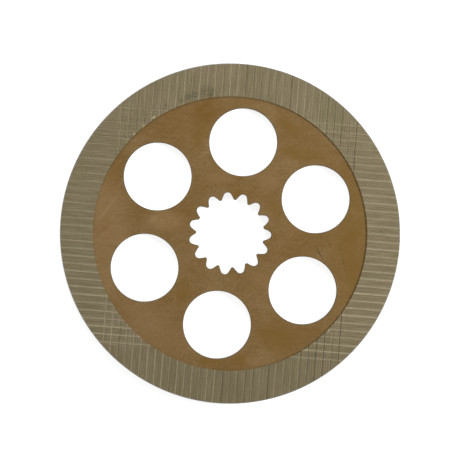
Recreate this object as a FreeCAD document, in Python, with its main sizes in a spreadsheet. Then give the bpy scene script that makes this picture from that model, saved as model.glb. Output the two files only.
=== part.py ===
"""Friction disc of an oil-immersed brake, in millimetres.

A stamped steel core plate slides on a splined shaft by its toothed bore. A ring of friction
lining is bonded to each of its faces, with narrow oil grooves across it.

The origin is the centre of the bore at half the disc's thickness, +Z is the disc's axis, and
+X runs through the centre of a hole that lies in line with a space of the spline. The disc
lies on its lower lining.
"""

import FreeCAD, Part
import math
import os

import Sketcher

Vector = FreeCAD.Vector

# Each size that can be set by itself: its alias in the sheet, its value and what it is
SIZES = [
    ("disc_diameter", 223.0, "outer diameter of the core plate"),
    ("core_thickness", 4.8, "thickness of the core plate"),
    ("spline_teeth", 15, "number of teeth in the bore"),
    ("spline_module", 3.175, "pitch circle diameter for each tooth"),
    ("spline_pressure_angle", 30.0, "degrees, at the pitch circle"),
    ("spline_space_width", 6.65, "width of a tooth space, along the pitch circle"),
    ("tip_inside_pitch", 1.5875, "from the pitch circle in to the teeth's tips"),
    ("root_outside_pitch", 3.1575, "from the pitch circle out to the spaces' rounded roots"),
    ("hole_count", 6, "round holes in the plate"),
    ("hole_diameter", 44.4, "each round hole"),
    ("hole_circle_diameter", 120.8, "circle that the holes' centres lie on"),
    ("lining_rim_margin", 0.5, "bare rim between the lining and the plate's edge"),
    ("lining_width", 21.2, "from the lining's outer edge to its inner edge"),
    ("lining_thickness", 1.0, "each lining"),
    ("groove_turn", 63.6, "degrees from +X to the grooves of the first pass"),
    ("groove_count", 32, "grooves in each of the upper lining's two passes"),
    ("lower_groove_count", 28, "grooves in the lower lining's single pass"),
    ("groove_pitch", 4.96, "from one groove to the next"),
    ("groove_width", 0.8, "across one groove"),
    ("groove_floor", 0.45, "lining left below a groove"),
]

# How far a cut's outline starts clear of what it cuts
OVERRUN = 0.5
# Smallest length that tells one point from another
TOLERANCE = 0.001


def fill_sheet(doc):
    """Put the driving sizes in a sheet: alias, number and meaning, one row each."""
    sheet = doc.addObject("Spreadsheet::Sheet", "sizes")
    for row, (alias, value, meaning) in enumerate(SIZES, start=1):
        sheet.set(f"A{row}", alias)
        sheet.set(f"B{row}", str(value))
        sheet.set(f"C{row}", meaning)
        sheet.setAlias(f"B{row}", alias)
    doc.recompute()
    return sheet


def origin_part(body, role):
    """The plane or axis of a body's own origin that has this role."""
    return next(part for part in body.Origin.OriginFeatures if part.Role == role)


def flat_sketch(body, name):
    """An empty sketch on the body's own XY plane."""
    sketch = body.newObject("Sketcher::SketchObject", name)
    sketch.AttachmentSupport = [(origin_part(body, "XY_Plane"), "")]
    sketch.MapMode = "FlatFace"
    return sketch


def tie(sketch, kind, *places):
    """Add a constraint that has no size, such as coincident or tangent."""
    sketch.addConstraint(Sketcher.Constraint(kind, *places))


def hold(sketch, kind, places, start, expression):
    """Add a dimension that starts from a number and is bound to an expression on the sheet."""
    index = sketch.addConstraint(Sketcher.Constraint(kind, *places, start))
    sketch.setExpression(f"Constraints[{index}]", expression)


def add_circle(sketch, radius, radius_text):
    """A circle about the sketch's origin, with its radius bound to the sheet."""
    circle = sketch.addGeometry(Part.Circle(Vector(), Vector(0, 0, 1), radius))
    tie(sketch, "Coincident", circle, 3, -1, 1)
    hold(sketch, "Radius", (circle,), radius, radius_text)


def add_arc(sketch, first, middle, last):
    """An arc through three points: its index, then the places of its first and last point."""
    arc = sketch.addGeometry(Part.Arc(first, middle, last))
    forward = sketch.getPoint(arc, 1).distanceToPoint(first) < TOLERANCE
    return (arc, 1, 2) if forward else (arc, 2, 1)


def cut_through(body, sketch, name):
    """A pocket through the whole plate, both ways from its sketch at mid-thickness."""
    pocket = body.newObject("PartDesign::Pocket", name)
    pocket.Profile = sketch
    pocket.Type = "ThroughAll"
    pocket.SideType = "Symmetric"
    return pocket


def repeat_round(body, feature, name, count_text):
    """Copies of a cut, evenly spaced about the body's Z axis."""
    pattern = body.newObject("PartDesign::PolarPattern", name)
    pattern.Originals = [feature]
    pattern.Axis = (origin_part(body, "Z_Axis"), [""])
    pattern.Angle = 360
    pattern.setExpression("Occurrences", count_text)
    body.Tip = pattern
    return pattern


def polar(radius, turn):
    """The point at a radius and an angle in radians about the origin."""
    return Vector(radius * math.cos(turn), radius * math.sin(turn))


def mirrored(point):
    """The same point on the other side of the X axis."""
    return Vector(point.x, -point.y)


def involute_turn(radius, base_radius):
    """Radians about the centre, from an involute's start to its point at a radius."""
    slope = math.acos(base_radius / radius)
    return math.tan(slope) - slope


def involute_turn_text(radius_text):
    """The same angle, as an expression on the sheet."""
    base = "(sizes.spline_module * sizes.spline_teeth / 2 * cos(sizes.spline_pressure_angle * 1 deg))"
    slope = f"acos({base} / ({radius_text}))"
    return f"(tan({slope}) * 1 rad - {slope})"


def spline_circles(sheet):
    """The spline's pitch, tip and root circles: the radius of each and its expression."""
    pitch = sheet.spline_module * sheet.spline_teeth / 2
    pitch_text = "sizes.spline_module * sizes.spline_teeth / 2"
    tip = (pitch - sheet.tip_inside_pitch, f"{pitch_text} - sizes.tip_inside_pitch")
    root = (pitch + sheet.root_outside_pitch, f"{pitch_text} + sizes.root_outside_pitch")
    return (pitch, pitch_text), tip, root


def draw_tooth_space(sketch, sheet):
    """Outline of one tooth space about the X axis: two involute flanks and a round root.

    Each flank is the arc through three points of the involute, which rays from the origin hold
    by their radius and angle. The root is one full arc that meets both flanks without a corner
    and touches the root circle. The outline is closed inside the bore, along radial sides.
    """
    (pitch_radius, pitch_text), (tip_radius, tip_text), (root_radius, root_text) = spline_circles(sheet)
    base_radius = pitch_radius * math.cos(math.radians(sheet.spline_pressure_angle))
    half_space = sheet.spline_space_width / 2 / pitch_radius
    throat_radius = tip_radius - OVERRUN
    half_space_text = f"sizes.spline_space_width / 2 / ({pitch_text}) * 1 rad"

    def flank_turn(radius):
        return half_space + involute_turn(pitch_radius, base_radius) - involute_turn(radius, base_radius)

    def flank_turn_text(radius_text):
        return f"{half_space_text} + {involute_turn_text(pitch_text)} - {involute_turn_text(radius_text)}"

    levels = [
        (tip_radius, tip_text),
        (pitch_radius, pitch_text),
        ((pitch_radius + root_radius) / 2, f"({pitch_text} + {root_text}) / 2"),
    ]
    rays = []
    for radius, radius_text in levels:
        ray = sketch.addGeometry(Part.LineSegment(Vector(), polar(radius, flank_turn(radius))), True)
        tie(sketch, "Coincident", ray, 1, -1, 1)
        hold(sketch, "Distance", (ray,), radius, radius_text)
        hold(sketch, "Angle", (ray,), flank_turn(radius), flank_turn_text(radius_text))
        rays.append(ray)
    tip_ray, pitch_ray, root_ray = rays

    # Rough shapes, which the constraints then settle
    corner, middle, flank_end = half_outline = [polar(radius, flank_turn(radius)) for radius, _ in levels]
    side_end = polar(throat_radius, flank_turn(tip_radius))
    crown = Vector(root_radius, 0)
    flank, flank_tip, flank_root = add_arc(sketch, corner, middle, flank_end)
    twin, twin_tip, twin_root = add_arc(sketch, *map(mirrored, half_outline))
    root, root_near, root_far = add_arc(sketch, flank_end, crown, mirrored(flank_end))
    side = sketch.addGeometry(Part.LineSegment(corner, side_end))
    twin_side = sketch.addGeometry(Part.LineSegment(mirrored(corner), mirrored(side_end)))
    throat, throat_near, throat_far = add_arc(sketch, side_end, Vector(throat_radius, 0), mirrored(side_end))
    touch = sketch.addGeometry(Part.Point(crown), True)

    tie(sketch, "Coincident", tip_ray, 2, flank, flank_tip)
    tie(sketch, "PointOnObject", pitch_ray, 2, flank)
    tie(sketch, "PointOnObject", root_ray, 2, flank)
    tie(sketch, "Tangent", flank, flank_root, root, root_near)
    tie(sketch, "Symmetric", root, root_near, root, root_far, -1)
    tie(sketch, "PointOnObject", touch, 1, -1)
    tie(sketch, "PointOnObject", touch, 1, root)
    hold(sketch, "DistanceX", (-1, 1, touch, 1), root_radius, root_text)
    tie(sketch, "Coincident", twin, twin_root, root, root_far)
    tie(sketch, "Symmetric", flank, flank_tip, twin, twin_tip, -1)
    tie(sketch, "Equal", flank, twin)

    tie(sketch, "Coincident", throat, 3, -1, 1)
    hold(sketch, "Radius", (throat,), throat_radius, f"{tip_text} - {OVERRUN}")
    closing = [(side, flank, flank_tip, throat_near), (twin_side, twin, twin_tip, throat_far)]
    for line, arc, arc_tip, throat_end in closing:
        tie(sketch, "Coincident", line, 1, arc, arc_tip)
        tie(sketch, "Coincident", line, 2, throat, throat_end)
        tie(sketch, "PointOnObject", -1, 1, line)


def add_core_plate(doc, sheet):
    """The stamped steel plate, with its toothed bore and its round holes."""
    body = doc.addObject("PartDesign::Body", "core_plate")

    outline = flat_sketch(body, "plate_outline")
    _, tip_circle, _ = spline_circles(sheet)
    add_circle(outline, sheet.disc_diameter / 2, "sizes.disc_diameter / 2")
    add_circle(outline, *tip_circle)
    blank = body.newObject("PartDesign::Pad", "plate_blank")
    blank.Profile = outline
    blank.SideType = "Symmetric"
    blank.setExpression("Length", "sizes.core_thickness")

    space_outline = flat_sketch(body, "tooth_space_outline")
    draw_tooth_space(space_outline, sheet)
    space = cut_through(body, space_outline, "tooth_space")
    spline = repeat_round(body, space, "spline", "sizes.spline_teeth")

    hole_outline = flat_sketch(body, "hole_outline")
    reach = sheet.hole_circle_diameter / 2
    circle = hole_outline.addGeometry(Part.Circle(Vector(reach, 0), Vector(0, 0, 1), sheet.hole_diameter / 2))
    tie(hole_outline, "PointOnObject", circle, 3, -1)
    hold(hole_outline, "DistanceX", (-1, 1, circle, 3), reach, "sizes.hole_circle_diameter / 2")
    hold(hole_outline, "Radius", (circle,), sheet.hole_diameter / 2, "sizes.hole_diameter / 2")
    hole = cut_through(body, hole_outline, "hole")
    holes = repeat_round(body, hole, "holes", "sizes.hole_count")
    doc.recompute()

    check_copies("spline", blank, space, spline, sheet.spline_teeth)
    check_copies("holes", spline, hole, holes, sheet.hole_count)
    return body


def add_groove_pass(body, sheet, name, quarter_turns, count_alias):
    """One pass of the groove cutter: straight parallel grooves that straddle the centre."""
    reach = sheet.disc_diameter / 2
    first = (getattr(sheet, count_alias) - 1) / 2 * sheet.groove_pitch + sheet.groove_width / 2
    first_text = f"(sizes.{count_alias} - 1) / 2 * sizes.groove_pitch + sizes.groove_width / 2"

    outline = flat_sketch(body, f"{name}_outline")
    outline.AttachmentOffset = FreeCAD.Placement(
        Vector(0, 0, sheet.lining_thickness), FreeCAD.Rotation(Vector(0, 0, 1), 90 * quarter_turns)
    )
    outline.setExpression("AttachmentOffset.Base.z", "sizes.lining_thickness")
    low_y = -first
    high_y = low_y + sheet.groove_width
    corners = [Vector(-reach, low_y), Vector(reach, low_y), Vector(reach, high_y), Vector(-reach, high_y)]
    ends = corners[1:] + corners[:1]
    sides = [outline.addGeometry(Part.LineSegment(*pair)) for pair in zip(corners, ends)]
    low, right, high, left = sides
    for side, following in zip(sides, sides[1:] + sides[:1]):
        tie(outline, "Coincident", side, 2, following, 1)
    tie(outline, "Vertical", right)
    tie(outline, "Horizontal", high)
    tie(outline, "Vertical", left)
    tie(outline, "Symmetric", low, 1, low, 2, -2)
    hold(outline, "DistanceX", (low, 1, low, 2), 2 * reach, "sizes.disc_diameter")
    hold(outline, "DistanceY", (right, 1, right, 2), sheet.groove_width, "sizes.groove_width")
    hold(outline, "DistanceY", (low, 1, -1, 1), first, first_text)

    groove = body.newObject("PartDesign::Pocket", f"{name}_groove")
    groove.Profile = outline
    groove.setExpression("Length", "sizes.lining_thickness - sizes.groove_floor")

    grooves = body.newObject("PartDesign::LinearPattern", f"{name}_grooves")
    grooves.Originals = [groove]
    grooves.Direction = (outline, ["V_Axis"])
    grooves.Mode = "Spacing"
    grooves.setExpression("Offset", "sizes.groove_pitch")
    grooves.setExpression("Occurrences", f"sizes.{count_alias}")
    body.Tip = grooves
    return grooves


def add_lining(doc, sheet, name, count_aliases, seat, turn):
    """A ring of friction lining, lying on its own XY plane, and its place on the plate.

    Each alias in count_aliases makes one pass of grooves, a quarter turn from the one before.
    """
    body = doc.addObject("PartDesign::Body", name)
    outer = sheet.disc_diameter / 2 - sheet.lining_rim_margin
    outer_text = "sizes.disc_diameter / 2 - sizes.lining_rim_margin"

    outline = flat_sketch(body, f"{name}_outline")
    add_circle(outline, outer, outer_text)
    add_circle(outline, outer - sheet.lining_width, f"{outer_text} - sizes.lining_width")
    ring = body.newObject("PartDesign::Pad", f"{name}_ring")
    ring.Profile = outline
    ring.setExpression("Length", "sizes.lining_thickness")
    stages = [ring]
    for quarter_turns, count_alias in enumerate(count_aliases):
        stages.append(add_groove_pass(body, sheet, f"{name}_pass{quarter_turns}", quarter_turns, count_alias))
    body.setExpression("Placement", f"placement(vector(0; 0; {seat}); {turn})")
    doc.recompute()

    for before, after in zip(stages, stages[1:]):
        if before.Shape.Volume <= after.Shape.Volume:
            raise RuntimeError(f"{after.Name} cut nothing")
    return body


def add_upper_lining(doc, sheet):
    """The lining of the face that is seen: both passes of its grooves, which cross."""
    turn = "rotation(vector(0; 0; 1); sizes.groove_turn)"
    passes = ["groove_count", "groove_count"]
    return add_lining(doc, sheet, "upper_lining", passes, "sizes.core_thickness / 2", turn)


def add_lower_lining(doc, sheet):
    """The lining underneath, turned over, with one pass of grooves to save faces."""
    turn = "rotation(vector(0; 0; 1); sizes.groove_turn) * rotation(vector(1; 0; 0); 180)"
    passes = ["lower_groove_count"]
    return add_lining(doc, sheet, "lower_lining", passes, "-sizes.core_thickness / 2", turn)


def check_copies(name, before, one, all_copies, count):
    """A pattern of cuts takes away its count times what its first cut takes."""
    first_cut = before.Shape.Volume - one.Shape.Volume
    all_cuts = before.Shape.Volume - all_copies.Shape.Volume
    if first_cut <= 0 or abs(all_cuts - count * first_cut) > TOLERANCE * all_cuts:
        raise RuntimeError(f"{name}: {count} copies took {all_cuts:.1f} mm3, the first {first_cut:.1f} mm3")


def check_document(doc, bodies):
    """Stop if any object failed, or if a sub-part isn't one valid solid."""
    for item in doc.Objects:
        if "Invalid" in item.State or "Error" in item.State:
            raise RuntimeError(f"{item.Name} failed: {item.State}")
    for body in bodies:
        shape = body.Shape
        if shape.isNull() or not shape.isValid() or len(shape.Solids) != 1:
            raise RuntimeError(f"{body.Label} isn't one valid solid")


doc = FreeCAD.newDocument("brake_disc")
sheet = fill_sheet(doc)
bodies = [add_core_plate(doc, sheet), add_upper_lining(doc, sheet), add_lower_lining(doc, sheet)]
doc.recompute()
check_document(doc, bodies)

os.makedirs("parts", exist_ok=True)
for body in bodies:
    body.Shape.exportStep(f"parts/{body.Label}.step")
    box = body.Shape.BoundBox
    print(f"{body.Label}: {body.Shape.Volume:.0f} mm3, z {box.ZMin:.2f} to {box.ZMax:.2f}")
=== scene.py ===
import math

import bmesh
import bpy
import numpy as np
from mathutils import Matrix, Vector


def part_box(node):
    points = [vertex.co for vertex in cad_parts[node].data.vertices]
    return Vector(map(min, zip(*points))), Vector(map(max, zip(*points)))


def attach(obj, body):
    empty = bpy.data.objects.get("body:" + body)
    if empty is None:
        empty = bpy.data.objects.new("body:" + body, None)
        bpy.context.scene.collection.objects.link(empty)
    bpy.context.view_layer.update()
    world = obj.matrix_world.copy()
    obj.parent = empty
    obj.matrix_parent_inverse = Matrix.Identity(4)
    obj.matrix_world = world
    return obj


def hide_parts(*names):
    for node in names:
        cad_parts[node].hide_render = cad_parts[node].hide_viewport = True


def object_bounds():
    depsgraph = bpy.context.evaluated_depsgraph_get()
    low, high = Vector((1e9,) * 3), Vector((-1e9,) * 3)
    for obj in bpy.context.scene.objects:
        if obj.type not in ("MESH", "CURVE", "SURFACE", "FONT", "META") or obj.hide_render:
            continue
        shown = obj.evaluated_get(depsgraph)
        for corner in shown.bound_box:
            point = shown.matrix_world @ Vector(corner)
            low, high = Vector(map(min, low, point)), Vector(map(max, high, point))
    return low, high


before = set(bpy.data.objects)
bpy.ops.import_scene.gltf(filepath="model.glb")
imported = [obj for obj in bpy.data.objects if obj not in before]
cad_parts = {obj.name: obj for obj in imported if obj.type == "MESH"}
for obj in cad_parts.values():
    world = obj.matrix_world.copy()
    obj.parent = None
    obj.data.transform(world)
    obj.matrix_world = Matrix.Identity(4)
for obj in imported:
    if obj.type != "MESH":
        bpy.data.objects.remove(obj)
cad_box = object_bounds()

# The core plate: 4.8 mm steel sheet, stamped to its toothed bore, its six round holes and its
# rim in one stroke, so its edges are rolled where the punch went in and sharper where it left.
# The faces keep the brown film of cured resin that bonds the linings; the rim is bare.

MM = 0.001

plate_low, plate_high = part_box("core_plate")
RIM_RADIUS = plate_high[0] / MM
PLATE_TOP = plate_high[2] / MM
PLATE_BOTTOM = plate_low[2] / MM

SPLINE_TEETH = 15
PITCH_RADIUS = 23.8125
TIP_RADIUS = 22.225
ROOT_RADIUS = 26.97
PRESSURE_ANGLE = math.radians(30)
SPACE_WIDTH = 6.65
TOOTH_TIP_ROUNDING = 0.5

HOLE_COUNT = 6
HOLE_RADIUS = 22.2
HOLE_CIRCLE_RADIUS = 60.4

# Radius of the rolled edge on the punch's side, and of the worn burr on the other
ROLLED_EDGE = 0.4
BURR_EDGE = 0.15
ROLL_STEPS = 4
# How wide a border of the flat face wears along with an edge, and how worn it is at the edge;
# around the holes and the bore this wear sets painted shade
EDGE_BORDER = 0.5
BORDER_WEAR = 0.5
# The rim is rubbed bare right to its border; the walls and rolled edges of the holes and the bore
# are painted dark, as shade, and never turn bare
RIM_BARENESS = 3.0
HOLE_EDGE_SHADE = 0.4

CIRCLE_STEPS = 120
RIM_STEPS = 360


def involute_turn(radius):
    """Radians round the centre from an involute's start on its base circle: tan(a) - a."""
    slope = np.arccos(PITCH_RADIUS * math.cos(PRESSURE_ANGLE) / radius)
    return np.tan(slope) - slope


def circle_loop(radius, steps, centre=0):
    """A closed circle as complex numbers, in steps, anticlockwise."""
    return centre + radius * np.exp(2j * math.pi * np.arange(steps) / steps)


def toothed_loop():
    """The toothed bore's outline as complex numbers, anticlockwise.

    Half a tooth space runs from its crown on the X axis along the root's arc, whose centre is
    on the axis, down the involute flank, round the tooth's tip on a parabola, and along the tip
    to the middle of the tooth. The half is mirrored and repeated round the centre.
    """
    flank_steps, root_steps, tip_steps, land_steps = 10, 8, 5, 5
    half_space = SPACE_WIDTH / 2 / PITCH_RADIUS

    def on_flank(radius):
        turn = half_space + involute_turn(PITCH_RADIUS) - involute_turn(radius)
        return radius * np.exp(1j * turn)

    flank_start = (PITCH_RADIUS + ROOT_RADIUS) / 2
    flank = on_flank(np.linspace(flank_start, TIP_RADIUS + TOOTH_TIP_ROUNDING, flank_steps))
    root_centre = (ROOT_RADIUS**2 - abs(flank[0]) ** 2) / (2 * (ROOT_RADIUS - flank[0].real))
    swing = np.angle(flank[0] - root_centre) * np.arange(root_steps) / root_steps
    root = root_centre + (ROOT_RADIUS - root_centre) * np.exp(1j * swing)
    corner = on_flank(TIP_RADIUS)
    land_start = corner * np.exp(1j * TOOTH_TIP_ROUNDING / TIP_RADIUS)
    share = np.arange(1, tip_steps + 1) / tip_steps
    tip = (1 - share) ** 2 * flank[-1] + 2 * share * (1 - share) * corner + share**2 * land_start
    middle_of_tooth = math.pi / SPLINE_TEETH
    land = TIP_RADIUS * np.exp(1j * np.linspace(np.angle(land_start), middle_of_tooth, land_steps))
    half = np.concatenate([root, flank, tip, land[1:]])
    space = np.concatenate([half, np.conj(half[1:-1])[::-1] * np.exp(2j * middle_of_tooth)])
    turns = np.exp(2j * middle_of_tooth * np.arange(SPLINE_TEETH))
    return (turns[:, None] * space[None, :]).ravel()


def sheared_profile():
    """The wall of a stamped edge as (distance into the metal, height, wear) rows.

    Two quarter circles, large at the top and small at the bottom, with the straight wall
    between them and a flat border beyond each. Wear is 0 where a border starts and BORDER_WEAR
    where it ends, and from there it grows with the sine of the slope to 1 on the upright wall.
    """
    rows = []
    for radius, level, down in (ROLLED_EDGE, PLATE_TOP, 1), (BURR_EDGE, PLATE_BOTTOM, -1):
        swing = np.linspace(0, math.pi / 2, ROLL_STEPS + 1)
        inward = radius * (1 - np.sin(swing))
        height = level - down * radius * (1 - np.cos(swing))
        wear = BORDER_WEAR + (1 - BORDER_WEAR) * np.sin(swing)
        quarter = np.stack([inward, height, wear], axis=1)
        rows.append(np.concatenate([[[EDGE_BORDER, level, 0]], quarter])[::down])
    return np.concatenate(rows)


def closed_grid_quads(rows, columns):
    """Quads between the neighbours of a grid of points whose last row meets the first again.

    The points are counted row by row: row times columns, plus the place in the row.
    """
    row = np.arange(rows)
    column = np.arange(columns - 1)
    here = (row[:, None] * columns + column[None, :]).ravel()
    there = (np.roll(row, -1)[:, None] * columns + column[None, :]).ravel()
    return np.stack([here, here + 1, there + 1, there], axis=1)


def stamped_edge(loop, into_metal, wall_bareness_and_shade):
    """The edge profile carried along a loop: points, quads and bareness, which also sets painted
    shade.

    Each point of the loop is moved along the loop's normal by the profile's first number;
    into_metal is 1 where the metal is outside the loop, and -1 where it is inside. Bareness is
    the profile's wear times wall_bareness_and_shade, 1 at most; where it stays low the edge gets
    painted shade.
    """
    profile = sheared_profile()
    tangent = np.roll(loop, -1) - np.roll(loop, 1)
    normal = -1j * tangent / abs(tangent) * into_metal
    place = loop[:, None] + normal[:, None] * profile[None, :, 0]
    height = np.broadcast_to(profile[:, 1], place.shape)
    points = np.stack([place.real, place.imag, height], axis=-1).reshape(-1, 3) * MM
    bareness_and_edge_shade = np.broadcast_to(np.minimum(profile[:, 2] * wall_bareness_and_shade, 1), place.shape).ravel()
    quads = closed_grid_quads(len(loop), len(profile))
    return points, quads if into_metal == 1 else quads[:, ::-1], bareness_and_edge_shade


def new_mesh(name, points, faces):
    """A mesh from arrays of points and faces."""
    mesh = bpy.data.meshes.new(name)
    mesh.from_pydata(points.tolist(), [], faces.tolist())
    return mesh


def add_object(name, data):
    """An object at the origin, unturned, for a mesh, a lamp or a camera."""
    thing = bpy.data.objects.new(name, data)
    bpy.context.scene.collection.objects.link(thing)
    return thing


def set_point_value(mesh, name, values):
    """Store one number for each point of a mesh, for its material to read."""
    attribute = mesh.attributes.new(name, "FLOAT", "POINT")
    attribute.data.foreach_set("value", values)


hole_centres = HOLE_CIRCLE_RADIUS * np.exp(2j * math.pi * np.arange(HOLE_COUNT) / HOLE_COUNT)
plate_edges = [
    stamped_edge(circle_loop(RIM_RADIUS, RIM_STEPS), -1, RIM_BARENESS),
    stamped_edge(toothed_loop(), 1, HOLE_EDGE_SHADE),
    *(
        stamped_edge(circle_loop(HOLE_RADIUS, CIRCLE_STEPS, centre), 1, HOLE_EDGE_SHADE)
        for centre in hole_centres
    ),
]
first_points = np.cumsum([0] + [len(points) for points, _, _ in plate_edges])
plate_points = np.concatenate([points for points, _, _ in plate_edges])
plate_quads = np.concatenate(
    [quads + first for (_, quads, _), first in zip(plate_edges, first_points)]
)
plate = add_object("stamped_plate", new_mesh("stamped_plate", plate_points, plate_quads))
set_point_value(plate.data, "bareness_and_edge_shade", np.concatenate([bare_and_edge_shade for _, _, bare_and_edge_shade in plate_edges]))
plate.data.polygons.foreach_set("use_smooth", [True] * len(plate.data.polygons))


# A ten-thousandth of a millimetre, in metres
SNAP = 1e-7


def fill_and_face_outwards(mesh, heights):
    """Fill a mesh's open loops with a flat face at each height, and face every face outwards."""
    bm = bmesh.new()
    bm.from_mesh(mesh)
    for height in heights:
        open_edges = [edge for edge in bm.edges if edge.is_boundary]
        loops = [edge for edge in open_edges if abs(edge.verts[0].co.z - height) < SNAP]
        bmesh.ops.triangle_fill(bm, edges=loops, use_beauty=True, normal=(0, 0, 1))
    bmesh.ops.recalc_face_normals(bm, faces=bm.faces)
    bm.to_mesh(mesh)
    bm.free()


fill_and_face_outwards(plate.data, (PLATE_TOP * MM, PLATE_BOTTOM * MM))

# How far the camera is turned about the disc's axis, from the part's +X to the picture's right
VIEW_TURN = math.radians(21.8)


def linear_colour(text):
    """An sRGB hex colour as linear red, green, blue and alpha.

    The sRGB curve is a straight line near black, and above it a power of 2.4.
    """
    srgb = np.array([int(text[place:place + 2], 16) for place in (0, 2, 4)]) / 255
    linear = np.where(srgb <= 0.04045, srgb / 12.92, ((srgb + 0.055) / 1.055) ** 2.4)
    return (*linear.tolist(), 1.0)


def add_node(tree, kind, inputs=None, output=0, **settings):
    """Add a node with its settings, set its inputs or link them to sockets, and give an output."""
    node = tree.nodes.new(kind)
    for name, value in settings.items():
        setattr(node, name, value)
    for key, value in (inputs or {}).items():
        if isinstance(value, bpy.types.NodeSocket):
            tree.links.new(value, node.inputs[key])
        else:
            node.inputs[key].default_value = value
    return node.outputs[output]


def new_material(name):
    """An empty material with its shader: material, tree and shader node."""
    material = bpy.data.materials.new(name)
    material.use_nodes = True
    tree = material.node_tree
    return material, tree, tree.nodes["Principled BSDF"]


def view_millimetres(tree):
    """The piece's own coordinates in mm, turned so that X is right and Y is up in the picture."""
    place = add_node(tree, "ShaderNodeTexCoord", output="Object")
    inputs = {"Vector": place, "Rotation": (0, 0, VIEW_TURN), "Scale": (1 / MM, 1 / MM, 1 / MM)}
    return add_node(tree, "ShaderNodeMapping", inputs)


def patches(tree, place, length, width, turn=0.0, detail=3.0, roughness=0.6):
    """A soft random pattern, 0 to 1, with patches length by width mm, turned anticlockwise."""
    inputs = {"Vector": place, "Rotation": (0, 0, turn), "Scale": (length, width, length)}
    turned = add_node(tree, "ShaderNodeMapping", inputs, vector_type="TEXTURE")
    inputs = {"Vector": turned, "Scale": 1.0, "Detail": detail, "Roughness": roughness}
    return add_node(tree, "ShaderNodeTexNoise", inputs)


def blotch(tree, place, centre, half_sizes, turn=0.0, softness=0.6):
    """1 inside an ellipse in the picture's millimetres and 0 outside it, with a soft edge."""
    inputs = {"Vector": place, "Location": (*centre, 0), "Rotation": (0, 0, turn)}
    inputs["Scale"] = (*half_sizes, RIM_RADIUS)
    inside = add_node(tree, "ShaderNodeMapping", inputs, vector_type="TEXTURE")
    distance = add_node(tree, "ShaderNodeVectorMath", {0: inside}, "Value", operation="LENGTH")
    inputs = {"Value": distance, "From Min": 1 + softness, "From Max": 1 - softness}
    return add_node(tree, "ShaderNodeMapRange", inputs, interpolation_type="SMOOTHSTEP")


def glaze(tree, under, over, pattern, start, full, share):
    """Lay a colour over another: none of it where the pattern is start, and share at full."""
    inputs = {"Value": pattern, "From Min": start, "From Max": full, "To Max": share}
    amount = add_node(tree, "ShaderNodeMapRange", inputs)
    inputs = {"Factor": amount, "A": under, "B": linear_colour(over)}
    return add_node(tree, "ShaderNodeMix", inputs, "Result", data_type="RGBA")


def lay_marks(tree, place, colour, marks, broken):
    """Lay each mark's tint over a colour in its ellipses, as far as a pattern leaves it whole."""
    for tint, share, places in marks:
        for centre, half_sizes, turn in places:
            mark = blotch(tree, place, centre, half_sizes, math.radians(turn))
            mark = add_node(tree, "ShaderNodeMath", {0: mark, 1: broken}, operation="MULTIPLY")
            colour = glaze(tree, colour, tint, mark, 0, 1, share)
    return colour


# Cured phenolic resin film on steel: satin, brown, thicker and more ochre in clouds, with
# wiping streaks and a few scratches. The steel's own grain shows through it; it is much finer
# than a millimetre, and is drawn as coarse as it needs to be to show.
film, tree, shader = new_material("cured_resin_film_on_steel")
place = view_millimetres(tree)
clouds = patches(tree, place, 34, 26, detail=4)
mottle = patches(tree, place, 7, 5, detail=4)
grain = patches(tree, place, 1.1, 1.1, detail=2)
wiped = patches(tree, place, 26, 2.2, math.radians(-8))
rubbed = patches(tree, place, 18, 1.6, math.radians(42))

colour = glaze(tree, linear_colour("896D42"), "7A5B2A", clouds, 0.38, 0.62, 1.0)
colour = glaze(tree, colour, "73551F", mottle, 0.42, 0.62, 0.4)
colour = glaze(tree, colour, "92774E", wiped, 0.45, 0.7, 0.25)
colour = glaze(tree, colour, "947852", rubbed, 0.5, 0.75, 0.35)
colour = glaze(tree, colour, "5F4820", grain, 0.35, 0.65, 0.5)

# Where the film is thick and ochre, thin and greyish, rubbed pale, or scratched: its colour, how
# much of it, and each place's centre, half sizes and turn in degrees
FILM_MARKS = [
    ("6C4A06", 0.8, [((-15.5, 79), (10, 8), 0), ((79, -3), (5, 5), 0)]),
    ("73551C", 0.75, [
        ((-20, 64), (4, 10), -15), ((47, 52), (14, 4), -8), ((30, 13), (3, 9), 20),
        ((5, 26), (6, 3), 0), ((-31, -38), (4, 9), -15), ((31, -68), (11, 9), 0),
        ((6, -83), (5, 4), 0), ((-13, -83), (8, 3), 0), ((-77, 35), (4, 10), -25),
        ((38, 70), (8, 3), -40), ((79, -20), (4, 14), 15), ((78, 0), (12, 42), 0),
    ]),
    ("91714C", 0.35, [
        ((-50, -62), (24, 12), -45), ((-6, 37), (9, 4), 0), ((24, 35), (6, 6), 0),
        ((22, -32), (9, 5), -30), ((17, -83), (7, 3), 0),
    ]),
    ("A4845C", 0.35, [((-80, -2), (13, 38), 5), ((-42, 8), (11, 6), 0)]),
    ("A08A5C", 0.25, [
        ((-80, 17), (11, 0.7), 53), ((-50, 10), (4, 1.0), 40), ((-17, 52), (5, 0.7), 37),
        ((-36, -42), (2.2, 0.5), -72),
    ]),
    ("3E2C10", 0.9, [((59, -14), (3.2, 0.35), -58)]),
    ("4A3614", 0.6, [
        ((57, -10.5), (3.5, 0.3), -58), ((65.1, -6.7), (3.4, 0.3), -69),
        ((74.2, -19), (9, 0.4), -76), ((40, -53), (5, 0.35), -60),
    ]),
]
inputs = {"Value": mottle, "From Min": 0.25, "From Max": 0.55, "To Min": 0.4}
broken = add_node(tree, "ShaderNodeMapRange", inputs)
colour = lay_marks(tree, place, colour, FILM_MARKS, broken)
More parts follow.
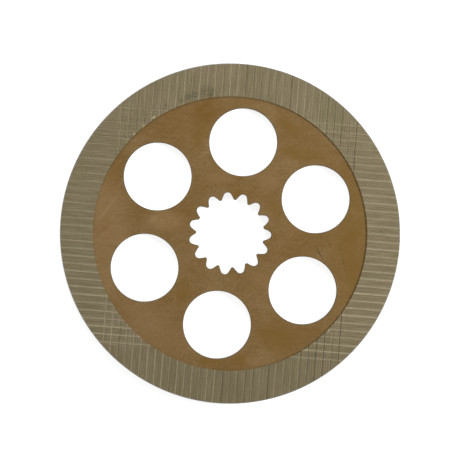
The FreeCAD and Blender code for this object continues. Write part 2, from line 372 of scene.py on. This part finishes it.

# Sheared steel: the rim is bare and light grey, burnished near the punch's side and torn rough
# and darker below; the walls and rolled edges of the holes and the bore are painted dark, as shade
bare_and_edge_shade = add_node(tree, "ShaderNodeAttribute", {}, "Fac", attribute_name="bareness_and_edge_shade")
height = add_node(tree, "ShaderNodeSeparateXYZ", {0: place}, "Z")
torn = add_node(tree, "ShaderNodeMath", {0: height, 1: grain}, operation="SUBTRACT")
sheared = glaze(tree, linear_colour("979798"), "6C6864", torn, 0.9, -0.2, 1.0)
# Painted shade: dark grey brown where the steel is not bared, on the holes' and bore's walls and
# edges
colour = glaze(tree, colour, "5A5244", bare_and_edge_shade, 0.05, 0.35, 1.0)
rubbed_through = {"Value": bare_and_edge_shade, "From Min": 0.45, "From Max": 0.7}
share = add_node(tree, "ShaderNodeMapRange", rubbed_through)
inputs = {"Factor": share, "A": colour, "B": sheared}
colour = add_node(tree, "ShaderNodeMix", inputs, "Result", data_type="RGBA")
tree.links.new(colour, shader.inputs["Base Color"])
metallic = add_node(tree, "ShaderNodeMapRange", rubbed_through | {"To Max": 0.8})
tree.links.new(metallic, shader.inputs["Metallic"])
inputs = {"Value": mottle, "From Min": 0.3, "From Max": 0.7, "To Min": 0.45, "To Max": 0.62}
tree.links.new(add_node(tree, "ShaderNodeMapRange", inputs), shader.inputs["Roughness"])
shader.inputs["Specular IOR Level"].default_value = 0.3
relief = add_node(tree, "ShaderNodeMath", {0: mottle, 1: grain}, operation="ADD")
inputs = {"Height": relief, "Strength": 0.2, "Distance": 0.1 * MM}
tree.links.new(add_node(tree, "ShaderNodeBump", inputs), shader.inputs["Normal"])

plate.data.materials.append(film)
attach(plate, "root")
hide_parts("core_plate")


# The linings: rings of paper-based friction material, resin-bonded cellulose and mineral fibre
# pressed 1 mm thick and glued to the plate. Two passes of a gang of thin saws cut the oil
# grooves, which are paler inside, where the fibre is fresh.

upper_low, upper_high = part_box("upper_lining")
LINING_OUTER = upper_high[0] / MM
LINING_INNER = 89.8
LINING_THICKNESS = (upper_high[2] - upper_low[2]) / MM

GROOVE_COUNT = 32
GROOVE_PITCH = 4.96
GROOVE_TURN = math.radians(63.6)
# Half widths of a groove: at its floor, where its wall ends, and where its worn corner ends; and
# there, its height in shares of its depth, and how much of its dust lies there
GROOVE_HALF_WIDTHS = np.array([0.22, 0.40, 0.68])
GROOVE_HEIGHTS = np.array([-1.0, -0.22, 0.0])
GROOVE_DUST = np.array([1.0, 1.0, 0.0])
# How far a groove wanders with each of two waves, and how long a radian of each wave is
GROOVE_WANDER = 0.015
LONG_WAVE = 3.7
SHORT_WAVE = 1.9

RING_SECTORS = 240
RING_BANDS = 6

# The first pass of the saws is counted from the picture's right, where they were set lower: some
# cut half way or more through the lining
SHALLOW_CUT = 0.3
HALF_DEEP_CUT = 0.42
DEEP_CUT = 0.6
DEEP_GROOVES = [0, 2, 3, 9, 15]
HALF_DEEP_GROOVES = [1, 4, 5, 11, 12, 13, 14, 26, 27, 28, 29]

# One row or entry for each pass, of which the second is counted from the picture's bottom: how
# wide its grooves are beside the usual one, and how much pale dust they hold, 1 at most, in
# their first and second half, in those that stayed clean, and in those that filled up
PASS_WIDTHS = [[0.85], [1.08]]
USUAL_DUST = [[0.28, 0.42], [0.42, 0.33]]
CLEAN_GROOVES = [[0, 1, 2, 3, 4, 5, 9, 11, 12, 13, 14, 15, 18, 22, 29], range(26, 32)]
CLEAN_DUST = [0.24, 0.25]
DUSTY_GROOVES = [[21, 23, 24], [6, 7, 8, 14, 15]]
HEAVY_DUST = [0.55, 0.5]

rng = np.random.default_rng(7)


def each_groove(low, high):
    """A random number between two others for each groove of both passes."""
    return rng.uniform(low, high, (2, GROOVE_COUNT))


groove_numbers = np.arange(GROOVE_COUNT) - (GROOVE_COUNT - 1) / 2
groove_widths = each_groove(0.9, 1.1) * PASS_WIDTHS
groove_depths = np.full((2, GROOVE_COUNT), SHALLOW_CUT)
groove_depths[0, DEEP_GROOVES] = DEEP_CUT
groove_depths[0, HALF_DEEP_GROOVES] = HALF_DEEP_CUT
groove_depths *= each_groove(0.9, 1.1)
groove_dust = np.repeat(USUAL_DUST, GROOVE_COUNT // 2, axis=1)
for row in (0, 1):
    groove_dust[row, CLEAN_GROOVES[row]] = CLEAN_DUST[row]
    groove_dust[row, DUSTY_GROOVES[row]] = HEAVY_DUST[row]
groove_dust *= each_groove(0.8, 1.2)
groove_phases = each_groove(0, 2 * math.pi)


def ring_grid():
    """A flat ring in the lining's own axes: radius and angle on an even grid, in mm."""
    turn = np.arange(RING_SECTORS) * 2 * math.pi / RING_SECTORS
    radius = np.linspace(LINING_INNER, LINING_OUTER, RING_BANDS + 1)
    place = radius[None, :] * np.exp(1j * turn[:, None])
    points = np.stack([place.real, place.imag, 0 * place.real], axis=-1).reshape(-1, 3)
    return points, closed_grid_quads(RING_SECTORS, RING_BANDS + 1)


def cut_and_skirt(mesh):
    """Cut the flat ring along every line where a groove's section has a corner.

    Its two round edges are then doubled, for the upright walls, and the number of the points
    before that is given.
    """
    bm = bmesh.new()
    bm.from_mesh(mesh)
    for axis in (0, 1):
        for number, width in zip(groove_numbers, groove_widths[axis]):
            for half_width in np.concatenate([-GROOVE_HALF_WIDTHS, GROOVE_HALF_WIDTHS]) * width:
                origin, normal = [0, 0, 0], [0, 0, 0]
                origin[1 - axis] = number * GROOVE_PITCH + half_width
                normal[1 - axis] = 1
                geometry = bm.verts[:] + bm.edges[:] + bm.faces[:]
                bmesh.ops.bisect_plane(
                    bm, geom=geometry, dist=SNAP / MM, plane_co=origin, plane_no=normal
                )
    face_points = len(bm.verts)
    bmesh.ops.extrude_edge_only(bm, edges=[edge for edge in bm.edges if edge.is_boundary])
    bm.to_mesh(mesh)
    bm.free()
    return face_points


def groove_relief(points):
    """Depth below the lands, dust and wandered place of each point of the lining's face.

    Across a groove the section is straight between its corners. Where two grooves cross, the
    deeper one and the dustier one count. Each groove wanders a little to either side, on a sum
    of two sines, except at the ring's round edges.
    """
    depth = np.zeros(len(points))
    dust = np.zeros(len(points))
    moved = points.copy()
    radius = abs(points[:, 0] + 1j * points[:, 1])
    inside = np.minimum(radius - LINING_INNER, LINING_OUTER - radius) > GROOVE_WANDER
    for axis in (0, 1):
        across, along = points[:, 1 - axis], points[:, axis]
        index = np.round(across / GROOVE_PITCH + (GROOVE_COUNT - 1) / 2)
        index = np.clip(index, 0, GROOVE_COUNT - 1).astype(int)
        distance = abs(across - groove_numbers[index] * GROOVE_PITCH) / groove_widths[axis, index]
        section = -np.interp(distance, GROOVE_HALF_WIDTHS, GROOVE_HEIGHTS)
        depth = np.maximum(depth, section * groove_depths[axis, index])
        dusted = np.interp(distance, GROOVE_HALF_WIDTHS, GROOVE_DUST)
        dust = np.maximum(dust, dusted * groove_dust[axis, index])
        phase = groove_phases[axis, index]
        wander = np.sin(along / LONG_WAVE + phase) + np.sin(along / SHORT_WAVE + 2 * phase)
        moved[:, 1 - axis] += GROOVE_WANDER * wander * (distance < 1) * inside
    return depth, dust, moved


def mesh_points(mesh):
    """A mesh's points as rows of X, Y and Z."""
    points = np.empty(len(mesh.vertices) * 3)
    mesh.vertices.foreach_get("co", points)
    return points.reshape(-1, 3)


def grooved_ring(name):
    """The lining in its own axes, in mm, with its seat on Z = 0, open below."""
    mesh = new_mesh(name, *ring_grid())
    face_points = cut_and_skirt(mesh)
    depth, dust, moved = groove_relief(mesh_points(mesh))
    is_face = np.arange(len(moved)) < face_points
    moved[:, 2] = is_face * (LINING_THICKNESS - depth)
    mesh.vertices.foreach_set("co", moved.ravel())
    set_point_value(mesh, "groove_depth", is_face * depth)
    set_point_value(mesh, "groove_dust", is_face * dust)
    return mesh


def lay_lining(name, seat_height, turned_over):
    """A ring in its place: turned over for the lower face, turned about the axis, in metres."""
    mesh = grooved_ring(name)
    points = mesh_points(mesh)
    if turned_over:
        points[:, 1:] *= -1
    place = (points[:, 0] + 1j * points[:, 1]) * np.exp(1j * GROOVE_TURN)
    placed = np.stack([place.real, place.imag, points[:, 2] + seat_height], axis=1) * MM
    mesh.vertices.foreach_set("co", placed.ravel())
    fill_and_face_outwards(mesh, [seat_height * MM])
    return add_object(name, mesh)


upper = lay_lining("grooved_lining_upper", PLATE_TOP, turned_over=False)
lower = lay_lining("grooved_lining_lower", PLATE_BOTTOM, turned_over=True)


def swept_by(tree, place, direction, softness=1.0):
    """1 where a pass of the saws along a direction went over the lining, and 0 beyond it.

    Softness is how far the change reaches to either side of the edge, in millimetres.
    """
    inputs = {"Vector": place, "Rotation": (0, 0, direction)}
    own_axes = add_node(tree, "ShaderNodeMapping", inputs, vector_type="TEXTURE")
    across = add_node(tree, "ShaderNodeSeparateXYZ", {0: own_axes}, "Y")
    distance = add_node(tree, "ShaderNodeMath", {0: across}, operation="ABSOLUTE")
    edge = GROOVE_COUNT / 2 * GROOVE_PITCH
    inputs = {"Value": distance, "From Min": edge + softness, "From Max": edge - softness}
    return add_node(tree, "ShaderNodeMapRange", inputs)


# Paper-based friction material: matt olive beige, scored along the saws' path, speckled with
# fibre, pale where it is cut. Its fibres are a few hundredths of a millimetre thick, and are
# drawn as coarse as they need to be to show.
paper, tree, shader = new_material("resin_bonded_friction_paper")
place = view_millimetres(tree)
groove_tilt = GROOVE_TURN + VIEW_TURN
broad = patches(tree, place, 28, 22)
fibres = patches(tree, place, 0.9, 0.9, roughness=0.7)
first_streaks = patches(tree, place, 16, 0.7, groove_tilt)
second_streaks = patches(tree, place, 16, 0.7, groove_tilt + math.pi / 2)
tufts = patches(tree, place, 3, 3)
first_swept = swept_by(tree, place, groove_tilt)
second_swept = swept_by(tree, place, groove_tilt + math.pi / 2)

# The mean of the streaks' pattern, so that the lining is as bright where no saw went
UNSCORED = 0.5
colour = glaze(tree, linear_colour("70664A"), "7B6D56", broad, 0.4, 0.65, 1.0)
colour = glaze(tree, colour, "7B6B48", tufts, 0.5, 0.7, 0.5)
for streaks, swept in (first_streaks, first_swept), (second_streaks, second_swept):
    scored = add_node(tree, "ShaderNodeMix", {"Factor": swept, "A": UNSCORED, "B": streaks})
    colour = glaze(tree, colour, "998E70", scored, 0.42, 0.68, 0.7)
colour = glaze(tree, colour, "62583F", fibres, 0.4, 0.7, 0.35)

# An oily thumb mark across the top, a speck at the right, and pale chips at the inner edge: their
# colour, how much of it, and each place's centre, half sizes and turn in degrees
LINING_MARKS = [
    ("4F4B36", 0.55, [
        ((-15, 92.8), (4.2, 4.4), -10), ((-12.2, 91.5), (1.0, 4.0), -12),
        ((-22.8, 90.6), (2.4, 2.4), 0), ((-27.6, 89.2), (2.2, 2.0), 30),
        ((-32.2, 87), (1.6, 1.6), 0), ((-41.5, 83.5), (1.2, 1.8), 0),
    ]),
    ("57503C", 0.8, [((98.6, 1.4), (0.6, 0.6), 0)]),
    ("CDBF98", 0.8, [
        ((-50.2, 75.9), (1.3, 0.6), 30), ((-56.4, 70.6), (0.9, 0.6), 30),
        ((-62.6, 65.2), (0.9, 0.6), 40), ((50.1, -76.2), (1.0, 0.5), 30),
        ((64.6, -63.6), (0.6, 0.5), 0),
    ]),
]
inputs = {"Value": fibres, "From Min": 0.4, "From Max": 0.6, "To Min": 0.5}
broken = add_node(tree, "ShaderNodeMapRange", inputs)
colour = lay_marks(tree, place, colour, LINING_MARKS, broken)

# A groove's dust is pale and lies unevenly, least of it at the upper left of the picture. The
# deepest grooves get painted shade, and painted shade darkens the lining at the picture's bottom a
# little.
depth = add_node(tree, "ShaderNodeAttribute", {}, "Fac", attribute_name="groove_depth")
dust = add_node(tree, "ShaderNodeAttribute", {}, "Fac", attribute_name="groove_dust")
UPPER_LEFT = (-math.sqrt(0.5), math.sqrt(0.5), 0)
inputs = {0: place, 1: UPPER_LEFT}
to_upper_left = add_node(tree, "ShaderNodeVectorMath", inputs, "Value", operation="DOT_PRODUCT")
inputs = {"Value": to_upper_left, "From Min": 110.0, "From Max": 20.0, "To Min": 0.5}
settled = add_node(tree, "ShaderNodeMapRange", inputs)
inputs = {"Value": tufts, "From Min": 0.3, "From Max": 0.7, "To Min": 0.75, "To Max": 1.25}
uneven = add_node(tree, "ShaderNodeMapRange", inputs)
dusty = add_node(tree, "ShaderNodeMath", {0: dust, 1: settled}, operation="MULTIPLY")
dusty = add_node(tree, "ShaderNodeMath", {0: dusty, 1: uneven}, operation="MULTIPLY")
colour = glaze(tree, colour, "C0B597", dusty, 0, 1, 1.0)
# Painted shade: the deepest grooves are darker
colour = glaze(tree, colour, "4F4530", depth, 0.42, 0.65, 0.2)
# Painted shade: the lining darker at the picture's bottom
painted_shade_at_bottom = blotch(tree, place, centre=(10, -112), half_sizes=(95, 48))
colour = glaze(tree, colour, "665B40", painted_shade_at_bottom, 0, 1, 0.22)
tree.links.new(colour, shader.inputs["Base Color"])
shader.inputs["Roughness"].default_value = 0.9
shader.inputs["Specular IOR Level"].default_value = 0.2
streaks = add_node(tree, "ShaderNodeMath", {0: first_streaks, 1: second_streaks}, operation="ADD")
relief = add_node(tree, "ShaderNodeMath", {0: streaks, 1: fibres}, operation="ADD")
inputs = {"Height": relief, "Strength": 0.3, "Distance": 0.1 * MM}
tree.links.new(add_node(tree, "ShaderNodeBump", inputs), shader.inputs["Normal"])

for piece, node in (upper, "upper_lining"), (lower, "lower_lining"):
    piece.data.materials.append(paper)
    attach(piece, "root")
    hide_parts(node)


# The floor: a white sheet of card under the disc, there for the picture only. It glows for the
# camera, which sees it as near white, and keeps the disc's soft shadow.

FLOOR_HALF = 3.0
FLOOR_GLOW = 0.78
# The card's own roughness keeps its mean level a hair under the disc
FLOOR_GAP = 0.02 * MM
floor_height = cad_box[0][2] - FLOOR_GAP
corners = np.array([(-1, -1, 0), (1, -1, 0), (1, 1, 0), (-1, 1, 0)]) * FLOOR_HALF
sheet = new_mesh("floor", corners + (0, 0, floor_height), np.array([[0, 1, 2, 3]]))
floor = add_object("floor", sheet)


def seen_directly(tree):
    """1 for the camera's rays and those that glossy or clear surfaces send on, 0 for others."""
    seen = 0.0
    for rays in ("Is Camera Ray", "Is Glossy Ray", "Is Transmission Ray"):
        inputs = {0: add_node(tree, "ShaderNodeLightPath", output=rays), 1: seen}
        seen = add_node(tree, "ShaderNodeMath", inputs, operation="MAXIMUM")
    return seen


# Matt white card: even, with no shine
white, tree, shader = new_material("matt_white_card")
shader.inputs["Base Color"].default_value = linear_colour("D8D8D6")
shader.inputs["Roughness"].default_value = 0.9
shader.inputs["Specular IOR Level"].default_value = 0.0
shader.inputs["Emission Color"].default_value = (1, 1, 1, 1)
inputs = {0: seen_directly(tree), 1: FLOOR_GLOW}
glow = add_node(tree, "ShaderNodeMath", inputs, operation="MULTIPLY")
tree.links.new(glow, shader.inputs["Emission Strength"])
floor.data.materials.append(white)


# The studio: an even white sky that the camera sees as pure white, and two soft boxes, the
# stronger one at the picture's right.

# The sky's strength as light on the disc, and as it is seen
SKY_LIGHT = 0.315
SKY_SEEN = 1.0


def part_axes(right, up, height):
    """A place given along the picture's right and up, in the part's axes, in metres."""
    place = (right + 1j * up) * np.exp(-1j * VIEW_TURN)
    return (place.real, place.imag, height)


world = bpy.data.worlds.new("sky")
bpy.context.scene.world = world
world.use_nodes = True
tree = world.node_tree
sky = tree.nodes["Background"]
sky.inputs["Color"].default_value = (1, 1, 1, 1)
inputs = {"Value": seen_directly(tree), "To Min": SKY_LIGHT, "To Max": SKY_SEEN}
tree.links.new(add_node(tree, "ShaderNodeMapRange", inputs), sky.inputs["Strength"])


def soft_box(name, right, up, height, size, watts):
    """A square lamp that looks at the disc's centre."""
    lamp = bpy.data.lights.new(name, "AREA")
    lamp.size = size
    lamp.energy = watts
    box = add_object(name, lamp)
    box.location = part_axes(right, up, height)
    box.rotation_euler = box.location.to_track_quat("Z", "Y").to_euler()


soft_box("key_box", right=0.85, up=0.02, height=0.63, size=0.17, watts=7.6)
soft_box("fill_box", right=-0.10, up=0.55, height=0.42, size=0.4, watts=1.7)

# The camera looks straight down through a long lens. The disc's centre is a little right of the
# picture's centre and below it.
VIEW_CENTRE = (-0.0027, 0.0049)
VIEW_WIDTH = 0.2957
CAMERA_HEIGHT = 1.6
SENSOR_WIDTH = 36
camera_data = bpy.data.cameras.new("camera")
camera_data.sensor_width = SENSOR_WIDTH
camera_data.lens = SENSOR_WIDTH * CAMERA_HEIGHT / VIEW_WIDTH
camera = add_object("camera", camera_data)
camera.location = part_axes(*VIEW_CENTRE, cad_box[1][2] + CAMERA_HEIGHT)
camera.rotation_euler = (0, 0, -VIEW_TURN)
bpy.context.scene.camera = camera
bpy.context.scene.view_settings.view_transform = "Standard"
